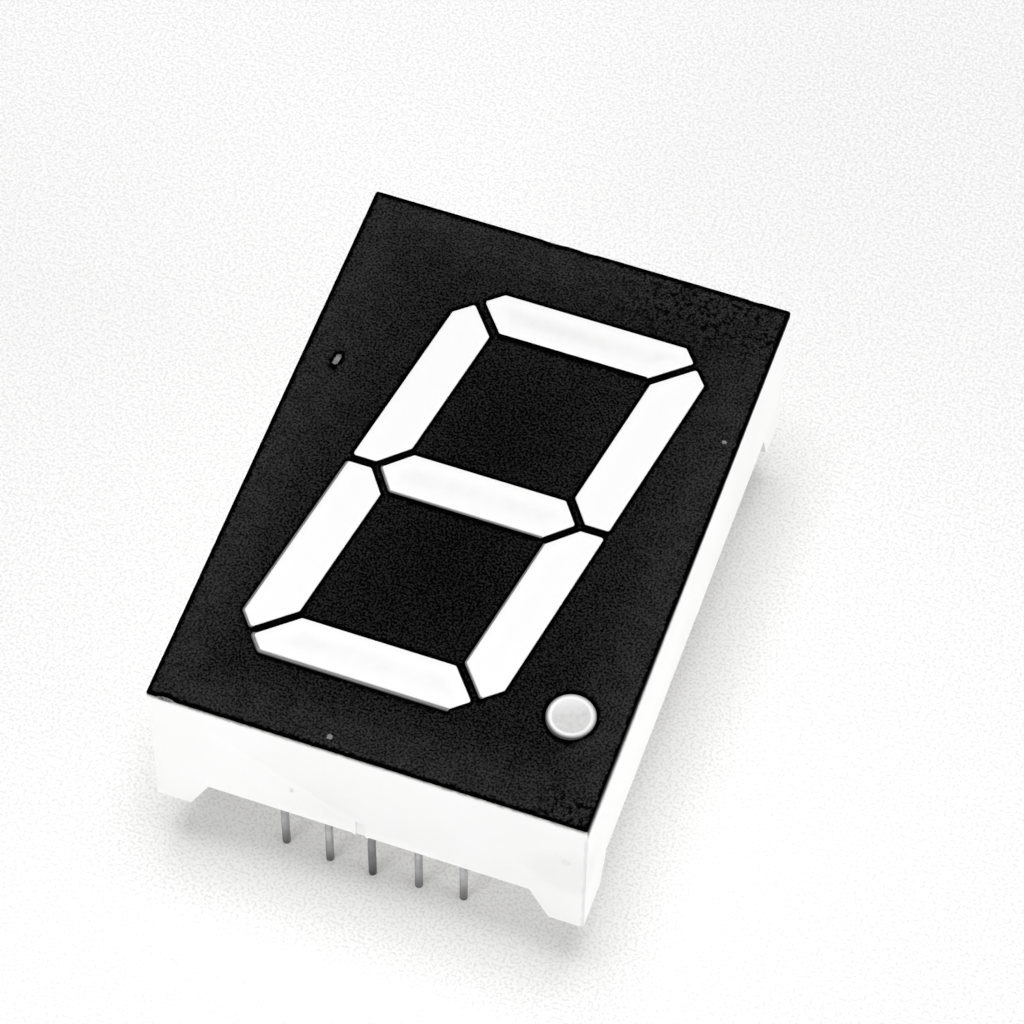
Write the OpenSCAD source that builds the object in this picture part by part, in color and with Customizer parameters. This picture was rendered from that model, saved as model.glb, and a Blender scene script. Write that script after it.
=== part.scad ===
// Seven segment display: one digit with a decimal point, for a 2.54 mm pin grid.
// The face looks up (+Z) and the digit reads along +Y. The origin is in the middle of the body,
// on the plane of the pin tips.

/* [Body] */
// Width of the body, across the digit
body_w = 24; // [23:0.5:30]
// Height of the body, along the digit
body_h = 34; // [33.5:0.5:42]
// Depth of the body, from the printed face to the bottom of the feet
body_d = 10.5; // [10:0.5:14]
// Thickness of the outer walls
wall_t = 0.7; // [0.6:0.05:0.9]
// Thickness of the front plate
plate_t = 0.9; // [0.6:0.1:1.4]
// Radius of the upright corners of the body
corner_r = 0.15; // [0.05:0.05:0.6]
// Thickness of the black print on the face
print_t = 0.04; // [0.02:0.01:0.1]

/* [Feet] */
// Height of the feet below the lower edge of the walls
foot_h = 2.4; // [1:0.1:3]
// Length of a foot along the width of the body, at its bottom
foot_x = 1.95; // [1.2:0.05:3]
// Length of a foot along the height of the body, at its bottom
foot_y = 2.6; // [1.5:0.1:4]
// How much a foot spreads up to the wall, along the width
foot_spread_x = 1.1; // [0.2:0.1:2]
// How much a foot spreads up to the wall, along the height
foot_spread_y = 0.85; // [0.2:0.05:2]
// How far the gaps in the side walls sit towards the head of the digit
arch_up = 0.15; // [0:0.05:0.4]

/* [Gate marks] */
// Width of the stub that a moulding gate leaves under a wall
gate_w = 0.9; // [0.5:0.1:2]
// Height of that stub
gate_h = 0.1; // [0.05:0.05:0.4]
// Place of the stubs under the head and foot walls, from the middle of the wall
gate_x = -0.4; // [-3:0.1:3]
// Place of the stubs under the side walls, from the middle of the wall
gate_y = 2.3; // [-4:0.1:4]
// Width of the sunk mark above the stub of the foot wall
scar_w = 0.5; // [0.3:0.1:1]
// Height of that mark above the lower edge of the wall
scar_h = 1.3; // [0.5:0.1:2]
// Depth of that mark
scar_t = 0.08; // [0.04:0.02:0.2]

/* [Digit] */
// Height of the digit
digit_h = 25.4; // [20:0.1:25.4]
// Width of the digit, measured square to its height
digit_w = 14.35; // [11:0.05:14.4]
// How far the middle of the digit sits above the middle of the face
digit_up = 0.07; // [0:0.01:0.2]
// Slant of the digit in degrees
slant = 10; // [0:1:12]
// Width of a light bar
stroke = 2.55; // [1.8:0.05:3]
// Gap between neighbouring light bars
gap = 0.49; // [0.3:0.01:0.8]
// Leg of the cut across each outer corner of the digit
corner_cut = 2; // [1:0.1:2.5]
// Angle of the splits on both sides of the middle bar, in degrees
branch_angle = 47.5; // [40:0.5:55]
// Radius of the corners of the light bars
bar_r = 0.14; // [0.05:0.01:0.25]
// How far the light bars stand above the print
bar_proud = 0.04; // [0.02:0.01:0.1]
// Rounding of their upper rim
bar_rim = 0.06; // [0.02:0.01:0.1]
// Width of the white rim left bare round each bar
print_relief = 0.02; // [0.02:0.01:0.1]

/* [Decimal point] */
// Diameter of the decimal point
dot_d = 2.6; // [1.5:0.05:2.8]
// Sideways place of its centre, from the middle of the body
dot_x = 9; // [8.8:0.1:9.1]
// Height of its centre above the foot of the digit
dot_rise = 1.8; // [1.4:0.1:2.4]

/* [Cups] */
// Depth of the cups, from the face to the board
cup_depth = 5.6; // [4:0.1:6]
// How much each side of a cup draws in towards the board
cup_taper = 0.42; // [0.2:0.02:0.5]
// Thickness of the cup walls
cup_wall = 0.55; // [0.4:0.05:0.8]
// Thickness of the ribs between the cups and the outer walls
rib_t = 0.6; // [0.4:0.1:1]
// Side of the square posts that the board's corners seat on
post_w = 1.5; // [1:0.1:2]

/* [Pins] */
// Distance between neighbouring pins
pin_pitch = 2.54; // [2.54:0.01:2.8]
// Distance between the two rows of pins
row_pitch = 30.48; // [28:0.01:30.5]
// Diameter of a pin
pin_d = 0.45; // [0.4:0.01:0.5]
// Length of the pins below the feet
pin_free = 5; // [3:0.5:8]
// Rounding of the pin tips
pin_tip_r = 0.1; // [0.05:0.01:0.15]
// Side of the coined square shank that goes through the board
shank_w = 0.38; // [0.3:0.01:0.4]
// How far the shank stands out of the front of the board
shank_out = 0.3; // [0.1:0.1:0.6]

/* [Board] */
// Thickness of the circuit board
board_t = 1; // [0.8:0.1:1.6]
// Clearance between the board and the outer walls
board_gap = 0.15; // [0.05:0.05:0.3]
// Diameter of the holes for the pins
hole_d = 0.62; // [0.58:0.01:0.7]
// Diameter of a solder land
land_d = 1.2; // [1:0.05:1.3]
// Width of a track
track_w = 0.4; // [0.2:0.05:0.5]
// Thickness of the copper
copper_t = 0.05; // [0.03:0.01:0.07]
// Diameter of a via
via_d = 0.4; // [0.3:0.05:0.5]
// Height of a solder joint
solder_h = 0.6; // [0.3:0.1:0.7]
// How far the potting resin stays back from the lower edge of the walls
resin_back = 0.3; // [0:0.05:0.4]

/* [LED dies] */
// Side of a die
die_w = 0.3; // [0.2:0.01:0.36]
// Height of a die
die_h = 0.2; // [0.1:0.01:0.25]
// Distance between the two dies of a light bar
die_pitch = 4; // [3:0.1:4.4]
// Width of the land under a die
die_land_w = 0.8; // [0.5:0.1:0.9]
// Reach of a bond wire, from the die to the next land
wire_reach = 0.9; // [0.7:0.05:1]
// Diameter of a bond wire
wire_d = 0.05; // [0.03:0.01:0.06]

/* [Hidden] */
BARS = ["a", "b", "c", "d", "e", "f", "g"];

$fn = 48;
over = 0.5; // how far a cutter runs past the face it cuts
arc_steps = 3; // facets on each rounded corner of a light bar
pins_per_row = 5;

// Levels, from the pin tips up
foot_z = pin_free;
wall_z = foot_z + foot_h;
face_z = foot_z + body_d;
front_z = face_z - print_t;
board_z = face_z - cup_depth;
cup_z = board_z + copper_t;
board_back_z = board_z - board_t;
resin_z = wall_z + resin_back;
bar_top_z = face_z + bar_proud;

inner_w = body_w - 2 * wall_t;
inner_h = body_h - 2 * wall_t;
board_w = inner_w - 2 * board_gap;
board_h = inner_h - 2 * board_gap;
row_y = row_pitch / 2;

// The digit before it is slanted: half sizes of its outside and of the openings inside it
half_w = digit_w / 2;
half_h = digit_h / 2;
in_x = half_w - stroke / cos(slant);
in_y = half_h - stroke;
mid = stroke / 2;
split = gap / sqrt(2);
dot_y = dot_rise - half_h;
bar_y = half_h - mid;
side_x = (in_x + half_w) / 2;
side_y = (in_y + mid) / 2;

// Tracks pass the ends of the cups at these distances from the middle of the board
far_track_x = board_w / 2 - post_w;
near_track_x = 2.5 * pin_pitch;
bend_y = row_y - 1.5 * land_d;
land_gap = 0.2;

WHITE = [0.94, 0.94, 0.93];
BLACK = [0.13, 0.13, 0.14];
MILKY = [0.97, 0.97, 0.96];
DOT_GREY = [0.86, 0.86, 0.85];
BOARD_GREEN = [0.2, 0.42, 0.25];
COPPER = [0.8, 0.5, 0.3];
DIE_AMBER = [0.75, 0.6, 0.35];
GOLD = [0.9, 0.75, 0.35];
TIN = [0.72, 0.73, 0.74];
RESIN = [0.9, 0.9, 0.87];

// ---------- outlines ----------

// Places on the digit before it is slanted, and on the face
function slanted(p) = [p.x + p.y * tan(slant), p.y + digit_up];
function unslanted(p) = [p.x - (p.y - digit_up) * tan(slant), p.y - digit_up];
function turned(outline) = [for (p = outline) -p];
function flipped_x(outline) = [for (i = [len(outline) - 1:-1:0]) [-outline[i].x, outline[i].y]];
function flipped_y(outline) = [for (i = [len(outline) - 1:-1:0]) [outline[i].x, -outline[i].y]];

// Outward unit normal of the side from p to q of an anticlockwise outline
function side_normal(p, q) = [q.y - p.y, p.x - q.x] / norm(q - p);

// Each corner of an outline with the normals of the two sides that meet there
function corners(outline) = let (n = len(outline)) [
    for (i = [0:n - 1]) let (p = outline[(i + n - 1) % n], q = outline[i], r = outline[(i + 1) % n])
        [q, side_normal(p, q), side_normal(q, r)]
];

// The outline with every side moved out by d
function grown(outline, d) = [
    for (c = corners(outline)) c[0] + d * (c[1] + c[2]) / (1 + c[1] * c[2])
];

// The outline with its corners rounded to radius r
function rounded(outline, r) = [
    for (c = corners(outline))
        let (centre = c[0] - r * (c[1] + c[2]) / (1 + c[1] * c[2]),
             start = atan2(c[1].y, c[1].x),
             turn = acos(min(1, c[1] * c[2])))
        for (k = [0:arc_steps])
            let (a = start + turn * k / arc_steps) centre + r * [cos(a), sin(a)]
];

// Top bar: outer corners cut at 45 degrees, ends split from the uprights at 45 degrees
function top_bar() =
    let (cut = half_w + half_h - corner_cut,
         rise = in_y - in_x + split,
         tip = (cut - rise) / 2,
         right = [[in_x - split, in_y], [tip, tip + rise], [half_w - corner_cut, half_h]])
    concat(right, flipped_x(right));

// Upper right bar: split from the top bar at one end and from the middle bar at the other
function upright_bar() =
    let (cut = half_w + half_h - corner_cut,
         rise = in_y - in_x - split,
         tip = (cut - rise) / 2,
         heel = in_x + (gap / 2 - (gap / 2 - mid) * cos(branch_angle)) / sin(branch_angle))
    [[in_x, mid + gap / 2 / cos(branch_angle)], [heel, gap / 2], [half_w, gap / 2],
     [half_w, half_h - corner_cut], [tip, tip + rise], [in_x, in_y - split]];

// Middle bar: a point at each end, between the uprights
function middle_bar() =
    let (point = in_x + (mid * cos(branch_angle) - gap / 2) / sin(branch_angle),
         shoulder = in_x - gap / 2 / sin(branch_angle),
         right = [[shoulder, -mid], [point, 0], [shoulder, mid]])
    concat(right, turned(right));

function straight_outline(name) =
    name == "a" ? top_bar() :
    name == "b" ? upright_bar() :
    name == "c" ? flipped_y(upright_bar()) :
    name == "d" ? turned(top_bar()) :
    name == "e" ? turned(upright_bar()) :
    name == "f" ? flipped_x(upright_bar()) : middle_bar();

function bar_outline(name) = [for (p = straight_outline(name)) slanted(p)];

// ---------- solids used by several pieces ----------

// Closed solid through rings of equally many points, each at its own height
module loft(rings, heights) {
    n = len(rings[0]);
    last = len(rings) - 1;
    points = [for (k = [0:last]) for (p = rings[k]) [p.x, p.y, heights[k]]];
    sides = [
        for (k = [0:last - 1]) for (i = [0:n - 1])
            let (a = k * n, b = a + n, j = (i + 1) % n)
            each [[a + i, b + i, b + j], [a + i, b + j, a + j]]
    ];
    bottom = [for (i = [0:n - 1]) i];
    top = [for (i = [n - 1:-1:0]) last * n + i];
    polyhedron(points = points, faces = concat([bottom, top], sides));
}

// How far a cup has drawn in at height z
function drawn_in(z) = cup_taper * (front_z - z) / (front_z - cup_z);
function cup_ring(outline, z) = rounded(grown(outline, -drawn_in(z)), bar_r);

module rounded_plate(w, h, r) {
    square([w - 2 * r, h], center = true);
    square([w, h - 2 * r], center = true);
    for (x = [-1, 1], y = [-1, 1]) translate([x * (w / 2 - r), y * (h / 2 - r)]) circle(r);
}

// ---------- reflector housing ----------

module cup_bore(name) {
    low = cup_z - over;
    high = front_z + over;
    loft([cup_ring(bar_outline(name), low), cup_ring(bar_outline(name), high)], [low, high]);
}

module cup_skin(name) {
    outline = grown(bar_outline(name), cup_wall);
    loft([grown(outline, -cup_taper), outline], [cup_z, front_z - plate_t / 2]);
}

module dot_cone(extra, low, high) {
    translate([dot_x, dot_y, low])
        cylinder(h = high - low, r1 = dot_d / 2 - drawn_in(low) + extra, r2 = dot_d / 2 - drawn_in(high) + extra);
}

// Gap between two feet, cut through a pair of opposite walls: span is the body's size along the wall,
// shift moves the gap along it, and gate_at is the place of the stub left in it
module foot_arch(span, foot, spread, shift, gate_at) {
    clear = span / 2 - foot;
    top = clear - spread;
    slope = spread / foot_h;
    rotate([90, 0, 0]) linear_extrude(height = 2 * max(body_w, body_h), center = true)
        difference() {
            translate([shift, 0]) polygon([
                [-clear - slope * over, foot_z - over], [clear + slope * over, foot_z - over],
                [top, wall_z], [-top, wall_z]
            ]);
            translate([gate_at - gate_w / 2, wall_z - gate_h]) square([gate_w, gate_h + over]);
        }
}

// Sunk mark where a gate was broken off the foot wall
module gate_scar() {
    translate([gate_x - scar_w / 2, -body_h / 2 - over, wall_z - gate_h - over])
        cube([scar_w, over + scar_t, over + gate_h + scar_h]);
}

// Ribs from the cups to the outer walls, clear of the pins
module ribs() {
    rib_h = front_z - cup_z - plate_t / 2;
    translate([0, 0, cup_z]) {
        for (x = [-1.5, 1.5] * pin_pitch, s = [-1, 1])
            translate([x - rib_t / 2, s > 0 ? in_y + stroke / 2 : -inner_h / 2 - wall_t / 2, 0])
                cube([rib_t, inner_h / 2 + wall_t / 2 - in_y - stroke / 2, rib_h]);
        for (y = [-0.5, 0.5] * half_h, s = [-1, 1]) {
            near = s * (in_x + half_w) / 2 + y * tan(slant);
            far = s * (inner_w + wall_t) / 2;
            translate([min(near, far), y - rib_t / 2, 0]) cube([abs(far - near), rib_t, rib_h]);
        }
    }
}

module board_posts() {
    reach = post_w + wall_t / 2;
    for (x = [-1, 1], y = [-1, 1])
        translate([x * (inner_w / 2 - post_w + reach / 2), y * (inner_h / 2 - post_w + reach / 2),
                   (board_z + front_z - plate_t / 2) / 2])
            cube([reach, reach, front_z - plate_t / 2 - board_z], center = true);
}

module reflector_housing() {
    color(WHITE) difference() {
        union() {
            translate([0, 0, foot_z]) linear_extrude(height = front_z - foot_z) difference() {
                rounded_plate(body_w, body_h, corner_r);
                square([inner_w, inner_h], center = true);
            }
            translate([0, 0, front_z - plate_t])
                linear_extrude(height = plate_t) square([body_w, body_h] - [wall_t, wall_t], center = true);
            for (name = BARS) cup_skin(name);
            dot_cone(cup_wall, cup_z, front_z - plate_t / 2);
            ribs();
            board_posts();
        }
        for (name = BARS) cup_bore(name);
        dot_cone(0, cup_z - over, front_z + over);
        foot_arch(body_w, foot_x, foot_spread_x, 0, gate_x);
        rotate([0, 0, 90]) foot_arch(body_h, foot_y, foot_spread_y, arch_up, gate_y);
        gate_scar();
    }
}

// ---------- face and light bars ----------

module face_print() {
    color(BLACK) translate([0, 0, front_z]) linear_extrude(height = print_t) difference() {
        rounded_plate(body_w, body_h, corner_r);
        for (name = BARS) polygon(rounded(grown(bar_outline(name), print_relief), bar_r + print_relief));
        translate([dot_x, dot_y]) circle(dot_d / 2 + print_relief);
    }
}

// A light bar fills its cup, goes up through the window in the print and is cast round its dies
module light_bar(name) {
    outline = bar_outline(name);
    color(MILKY) difference() {
        loft([cup_ring(outline, cup_z), cup_ring(outline, front_z), cup_ring(outline, front_z),
              rounded(grown(outline, -bar_rim), bar_r)],
             [cup_z, front_z, bar_top_z - bar_rim, bar_top_z]);
        at_dies(light(name)) {
            die();
            wire();
        }
    }
}

module decimal_point() {
    r = dot_d / 2;
    color(DOT_GREY) difference() {
        translate([dot_x, dot_y, 0]) rotate_extrude() polygon([
            [0, cup_z], [r - cup_taper, cup_z], [r, front_z], [r, bar_top_z - bar_rim],
            [r - bar_rim, bar_top_z], [0, bar_top_z]
        ]);
        at_dies(light("dot")) {
            die();
            wire();
        }
    }
}

// ---------- lights: dies, wires and copper ----------

// Each light: its middle before the slant, the direction from its common land to its signal land,
// and the pin that it is wired to
LIGHTS = [
    ["a", [0, bar_y], 0, 7],
    ["b", [side_x, side_y], 90 - slant, 6],
    ["c", [side_x, -side_y], 270 - slant, 4],
    ["d", [0, -bar_y], 180, 2],
    ["e", [-side_x, -side_y], 270 - slant, 1],
    ["f", [-side_x, side_y], 90 - slant, 9],
    ["g", [0, 0], 180, 10],
    ["dot", unslanted([dot_x, dot_y]), 180, 5]
];
function light(name) = [for (l = LIGHTS) if (l[0] == name) l][0];
function middle(l) = slanted(l[1]);
function along(l, t) = middle(l) + t * [cos(l[2]), sin(l[2])];

// Where the middle of each die and its wire lies along the light: two in series, or one in the dot
function die_places(l) = l[0] == "dot" ? [0] : [-die_pitch / 2, die_pitch / 2];
function last_place(l) = die_places(l)[len(die_places(l)) - 1];

module at_dies(l) {
    for (t = die_places(l))
        translate([along(l, t + wire_reach / 2).x, along(l, t + wire_reach / 2).y, cup_z])
            rotate([0, 0, l[2]]) children();
}

module die() {
    translate([-die_w / 2, -die_w / 2, 0]) cube([die_w, die_w, die_h]);
}

// The wire rises from the top of the die, arches over and drops to the land on the common side
module wire() {
    translate([-wire_reach / 2, 0, die_h]) rotate([90, 0, 0])
        rotate_extrude(angle = 180) translate([wire_reach / 2, 0]) circle(d = wire_d);
    translate([-wire_reach, 0, 0]) cylinder(h = die_h, d = wire_d);
}

module led_dies() {
    color(DIE_AMBER) for (l = LIGHTS) at_dies(l) die();
}

module bond_wires() {
    color(GOLD) for (l = LIGHTS) at_dies(l) wire();
}

// Copper land along a light's axis
module land(l, from, to) {
    translate(middle(l)) rotate([0, 0, l[2]])
        translate([from, -die_land_w / 2]) square([to - from, die_land_w]);
}

// The lands of a light: common, between each pair of dies, and signal
module lands(l) {
    near = (wire_reach - land_gap) / 2;
    places = die_places(l);
    land(l, places[0] - wire_reach / 2 - via_d, places[0] - land_gap / 2);
    if (len(places) > 1) land(l, places[0] + land_gap / 2, places[1] - land_gap / 2);
    land(l, last_place(l) + land_gap / 2, last_place(l) + wire_reach / 2 + near);
}

// Straight tracks through a list of points, with round ends and bends
module track(route) {
    for (i = [0:len(route) - 2]) {
        p = route[i];
        q = route[i + 1];
        translate(p) rotate([0, 0, atan2(q.y - p.y, q.x - p.x)])
            translate([0, -track_w / 2]) square([norm(q - p), track_w]);
    }
    for (p = route) translate(p) circle(d = track_w);
}

// From the signal land of a light, past the ends of the cups, to its pin
function signal_route(l) =
    let (start = along(l, last_place(l) + wire_reach / 2),
         pin = pin_place(l[3]),
         s = sign(pin.y),
         corner = [l[0] == "c" || l[0] == "f" ? -s * near_track_x : s * far_track_x, s * bend_y])
    l[0] == "a" || l[0] == "d" ? [start, pin] :
    l[0] == "g" ? [start, [-far_track_x, 0], [-far_track_x, bend_y], pin] :
    l[0] == "dot" ? [start, [start.x, -bend_y], pin] :
    [start, corner, pin];

function via_place(l) = along(l, die_places(l)[0] - wire_reach / 2 - via_d / 2);

module pin_holes() {
    for (i = [1:2 * pins_per_row]) translate(pin_place(i)) circle(d = hole_d);
}

module pin_lands() {
    for (i = [1:2 * pins_per_row]) translate(pin_place(i)) circle(d = land_d);
}

// Signals run on the front of the board; the common net is a spine with branches on its back
module front_copper() {
    difference() {
        union() {
            for (l = LIGHTS) lands(l);
            for (l = LIGHTS) track(signal_route(l));
            pin_lands();
        }
        pin_holes();
    }
}

module back_copper() {
    difference() {
        union() {
            track([[0, -row_y], [0, row_y]]);
            for (l = LIGHTS) track([via_place(l), [0, via_place(l).y]]);
            for (l = LIGHTS) translate(via_place(l)) circle(d = via_d + track_w);
            pin_lands();
        }
        pin_holes();
    }
}

module back_copper_layer() {
    translate([0, 0, board_back_z - copper_t]) linear_extrude(height = copper_t) back_copper();
}

module copper_tracks() {
    color(COPPER) {
        translate([0, 0, board_z]) linear_extrude(height = copper_t) front_copper();
        back_copper_layer();
        for (l = LIGHTS) translate([via_place(l).x, via_place(l).y, board_back_z - copper_t / 2])
            cylinder(h = board_t + copper_t, d = via_d);
    }
}

// ---------- pins ----------

// Pins are numbered as on a chip: 1 to 5 along the lower row, 6 to 10 back along the upper row
function pin_place(i) = i <= pins_per_row ?
    [(i - (pins_per_row + 1) / 2) * pin_pitch, -row_y] :
    [((3 * pins_per_row + 1) / 2 - i) * pin_pitch, row_y];

module at_pin(i) {
    translate([pin_place(i).x, pin_place(i).y, 0]) children();
}

module shank(low, high) {
    translate([-shank_w / 2, -shank_w / 2, low]) cube([shank_w, shank_w, high - low]);
}

module pin(i) {
    r = pin_d / 2;
    color(TIN) at_pin(i) {
        rotate_extrude() {
            translate([0, pin_tip_r]) square([r, resin_z - pin_tip_r]);
            square([r - pin_tip_r, pin_tip_r]);
            intersection() {
                translate([r - pin_tip_r, pin_tip_r]) circle(pin_tip_r);
                translate([r - pin_tip_r, 0]) square(pin_tip_r);
            }
        }
        shank(resin_z, board_z + shank_out);
    }
}

// ---------- board, solder and resin ----------

module circuit_board() {
    color(BOARD_GREEN) translate([0, 0, board_back_z]) linear_extrude(height = board_t) difference() {
        square([board_w, board_h], center = true);
        pin_holes();
        for (l = LIGHTS) translate(via_place(l)) circle(d = via_d);
    }
}

// A cone of solder on the back of the board, and the plug of solder that fills the plated hole
module solder_joint() {
    difference() {
        union() {
            translate([0, 0, board_back_z - copper_t - solder_h])
                cylinder(h = solder_h, r1 = shank_w * 0.75, r2 = land_d / 2 - copper_t);
            translate([0, 0, board_back_z - copper_t]) cylinder(h = board_t + 2 * copper_t, d = hole_d);
        }
        shank(resin_z, board_z + over);
    }
}

module solder_joints() {
    color(TIN) for (i = [1:2 * pins_per_row]) at_pin(i) solder_joint();
}

module back_resin() {
    color(RESIN) difference() {
        translate([-inner_w / 2, -inner_h / 2, resin_z]) cube([inner_w, inner_h, board_back_z - resin_z]);
        back_copper_layer();
        for (i = [1:2 * pins_per_row]) at_pin(i) {
            solder_joint();
            shank(resin_z - over, board_back_z + over);
        }
    }
}

reflector_housing();
face_print();
for (name = BARS) light_bar(name);
decimal_point();
circuit_board();
copper_tracks();
led_dies();
bond_wires();
solder_joints();
back_resin();
for (i = [1:10]) pin(i);
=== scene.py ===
"""Looks of a one-digit seven segment display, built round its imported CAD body.

Metres throughout. +Z comes out of the printed face and +Y runs up the digit.
"""

import math

import bmesh
import bpy
import numpy as np
from mathutils import Matrix, Vector, geometry, kdtree, noise


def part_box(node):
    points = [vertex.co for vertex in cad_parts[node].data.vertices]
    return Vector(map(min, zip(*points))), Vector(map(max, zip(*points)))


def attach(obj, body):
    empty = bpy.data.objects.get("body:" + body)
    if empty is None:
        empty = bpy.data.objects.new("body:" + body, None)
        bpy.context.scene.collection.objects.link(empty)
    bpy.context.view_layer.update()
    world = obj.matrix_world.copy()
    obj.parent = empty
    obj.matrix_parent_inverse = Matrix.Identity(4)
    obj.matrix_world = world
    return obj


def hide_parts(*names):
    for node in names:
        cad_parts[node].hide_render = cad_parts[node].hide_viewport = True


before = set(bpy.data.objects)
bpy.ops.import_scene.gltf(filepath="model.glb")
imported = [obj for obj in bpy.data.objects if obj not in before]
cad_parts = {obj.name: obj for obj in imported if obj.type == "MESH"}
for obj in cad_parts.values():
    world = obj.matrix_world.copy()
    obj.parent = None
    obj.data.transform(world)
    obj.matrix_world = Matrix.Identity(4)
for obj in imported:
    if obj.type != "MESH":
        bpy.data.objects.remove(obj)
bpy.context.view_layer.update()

MM = 0.001
FLAT = 1e-6  # two heights closer than this are one level
LOWER_LEFT = Vector((-0.75, -0.66))
UP_LEFT = Vector((-0.45, 0.89, 0.0))
DOWN = Vector((0.0, -1.0))
# Width of the painted shade on the print beyond each light's edge: on the lower left of a bar and below the
# dot (mm). Where it is negative, the print covers the light's edge instead.
RIM_OVERLAP_OR_SHADE = {
    "segment_a": -0.09, "segment_c": 0.06, "segment_d": 0.16, "segment_e": 0.08, "segment_g": 0.07,
    "decimal_point": 0.12,
}
# Scuffs on the near wall, the last a broad painted shade by its right corner (mm): (across, up), radius,
# strength.
WALL_MARKS_AND_SHADE = [
    ((-4.17, 9.9), 0.12, 0.55), ((-4.15, 10.12), 0.11, 0.45),
    ((10.88, 11.6), 0.3, 0.16), ((10.9, 10.4), 2.1, 0.1),
]
# Dust on the print (mm): across, up, radius.
DUST = [(11.2, 7.7, 0.12), (-2.2, -16.2, 0.15)]
# Stretches where the outer edge of the print is worn back (mm): from, to, depth.
WORN_LOW = [(-11.42, -10.42, 0.13)]
WORN_TOP = [(-2.3, -0.95, 0.07), (-0.15, 0.85, 0.06), (9.6, 10.3, 0.05)]
BODY = "root"
BARS = ["segment_" + letter for letter in "abcdefg"]
PINS = [f"pin_{number}" for number in range(1, 11)]


# ---------- levels and centres read from the CAD ----------

def low(node):
    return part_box(node)[0]


def high(node):
    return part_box(node)[1]


def middle_of(node):
    return sum(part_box(node), Vector()) / 2


floor_z = low("pin_1").z
resin_z = low("back_resin").z
ink_z = low("face_print").z
face_z = high("face_print").z
bar_top_z = high("segment_a").z
body_low, body_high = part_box("reflector_housing")
face_centre = (body_low + body_high) / 2
face_centre.z = face_z


# ---------- node materials ----------

def plain(socket, value):
    """Sets a socket's own value; a three-part colour gets full alpha."""
    if hasattr(value, "__len__") and len(value) == 3 and socket.type == "RGBA":
        value = (*value, 1.0)
    socket.default_value = value


class Nodes:
    """Adds nodes to one tree; an input is a value or another node's output."""

    def __init__(self, tree):
        self.tree = tree

    def add(self, kind, inputs=None, output=0, **settings):
        node = self.tree.nodes.new(kind)
        for name, value in settings.items():
            setattr(node, name, value)
        for key, value in (inputs or {}).items():
            socket = node.inputs[key]
            if isinstance(value, bpy.types.NodeSocket):
                self.tree.links.new(value, socket)
            else:
                plain(socket, value)
        return node.outputs[output] if output is not None else node

    def math(self, operation, a, b=0.0):
        return self.add("ShaderNodeMath", {0: a, 1: b}, operation=operation)

    def plus(self, a, b):
        return self.math("ADD", a, b)

    def minus(self, a, b):
        return self.math("SUBTRACT", a, b)

    def times(self, a, b):
        return self.math("MULTIPLY", a, b)

    def spread(self, value, low_in, high_in, low_out=0.0, high_out=1.0):
        """Maps a value from one range to another, smoothly and clamped."""
        return self.add("ShaderNodeMapRange", {
            "Value": value, "From Min": low_in, "From Max": high_in,
            "To Min": low_out, "To Max": high_out}, interpolation_type="SMOOTHSTEP")

    def mix(self, share, a, b):
        return self.add("ShaderNodeMix", {"Factor": share, 6: a, 7: b}, 2, data_type="RGBA")

    def noise(self, place, scale, detail=2.0, roughness=0.5):
        return self.add("ShaderNodeTexNoise", {
            "Vector": place, "Scale": scale, "Detail": detail, "Roughness": roughness})

    def place(self):
        """Where the surface point lies on the display, in metres."""
        return self.add("ShaderNodeTexCoord", output=3)

    def axes(self):
        """The same place as three numbers, "X", "Y" and "Z"."""
        return self.add("ShaderNodeSeparateXYZ", {"Vector": self.place()}, None).outputs

    def seen(self):
        """1 for rays of the camera, also mirrored or through a clear surface, and 0 for other light."""
        path = self.add("ShaderNodeLightPath", output=None).outputs
        mirrored = self.math("MAXIMUM", path["Is Camera Ray"], path["Is Glossy Ray"])
        return self.math("MAXIMUM", mirrored, path["Is Transmission Ray"])

    def stretched(self, place, scale):
        return self.add("ShaderNodeMapping", {"Vector": place, "Scale": scale})

    def attribute(self, name):
        return self.add("ShaderNodeAttribute", output=2, attribute_name=name)

    def grey(self, value, blue=1.0):
        return self.add("ShaderNodeCombineColor", {0: value, 1: value, 2: self.times(value, blue)})

    def bump(self, height, strength, depth, normal=None):
        inputs = {"Height": height, "Strength": strength, "Distance": depth}
        if normal is not None:
            inputs["Normal"] = normal
        return self.add("ShaderNodeBump", inputs)


def effect(name, inputs, outputs, build):
    """A shader node group with named inputs and outputs, shared by several materials."""
    tree = bpy.data.node_groups.new(name, "ShaderNodeTree")
    for label, kind, value in inputs:
        socket = tree.interface.new_socket(label, in_out="INPUT", socket_type="NodeSocket" + kind)
        socket.default_value = value
    for label, kind in outputs:
        tree.interface.new_socket(label, in_out="OUTPUT", socket_type="NodeSocket" + kind)
    given = tree.nodes.new("NodeGroupInput")
    result = tree.nodes.new("NodeGroupOutput")
    made = build(Nodes(tree), {label: given.outputs[label] for label, *_ in inputs})
    for label, _ in outputs:
        tree.links.new(made[label], result.inputs[label])
    return tree


def build_grain(n, given):
    """Fine texture that a moulding or a print takes from its tool, with broad cloudiness."""
    at = n.place()
    fine = n.noise(at, given["Fine scale"], given["Fine detail"], 0.6)
    broad = n.noise(at, given["Broad scale"], 2.0)
    return {"Fine": n.spread(fine, 0.3, 0.7), "Broad": n.spread(broad, 0.35, 0.65)}


def build_specks(n, given):
    """Sparse specks: 1 on a speck, 0 elsewhere."""
    cells = n.add("ShaderNodeTexVoronoi", {"Vector": n.place(), "Scale": given["Scale"]}, output=None)
    pick = n.add("ShaderNodeSeparateColor", {"Color": cells.outputs["Color"]})
    near = n.math("LESS_THAN", cells.outputs["Distance"], given["Size"])
    rare = n.math("LESS_THAN", pick, given["Share"])
    return {"Mask": n.times(near, rare)}


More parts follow.
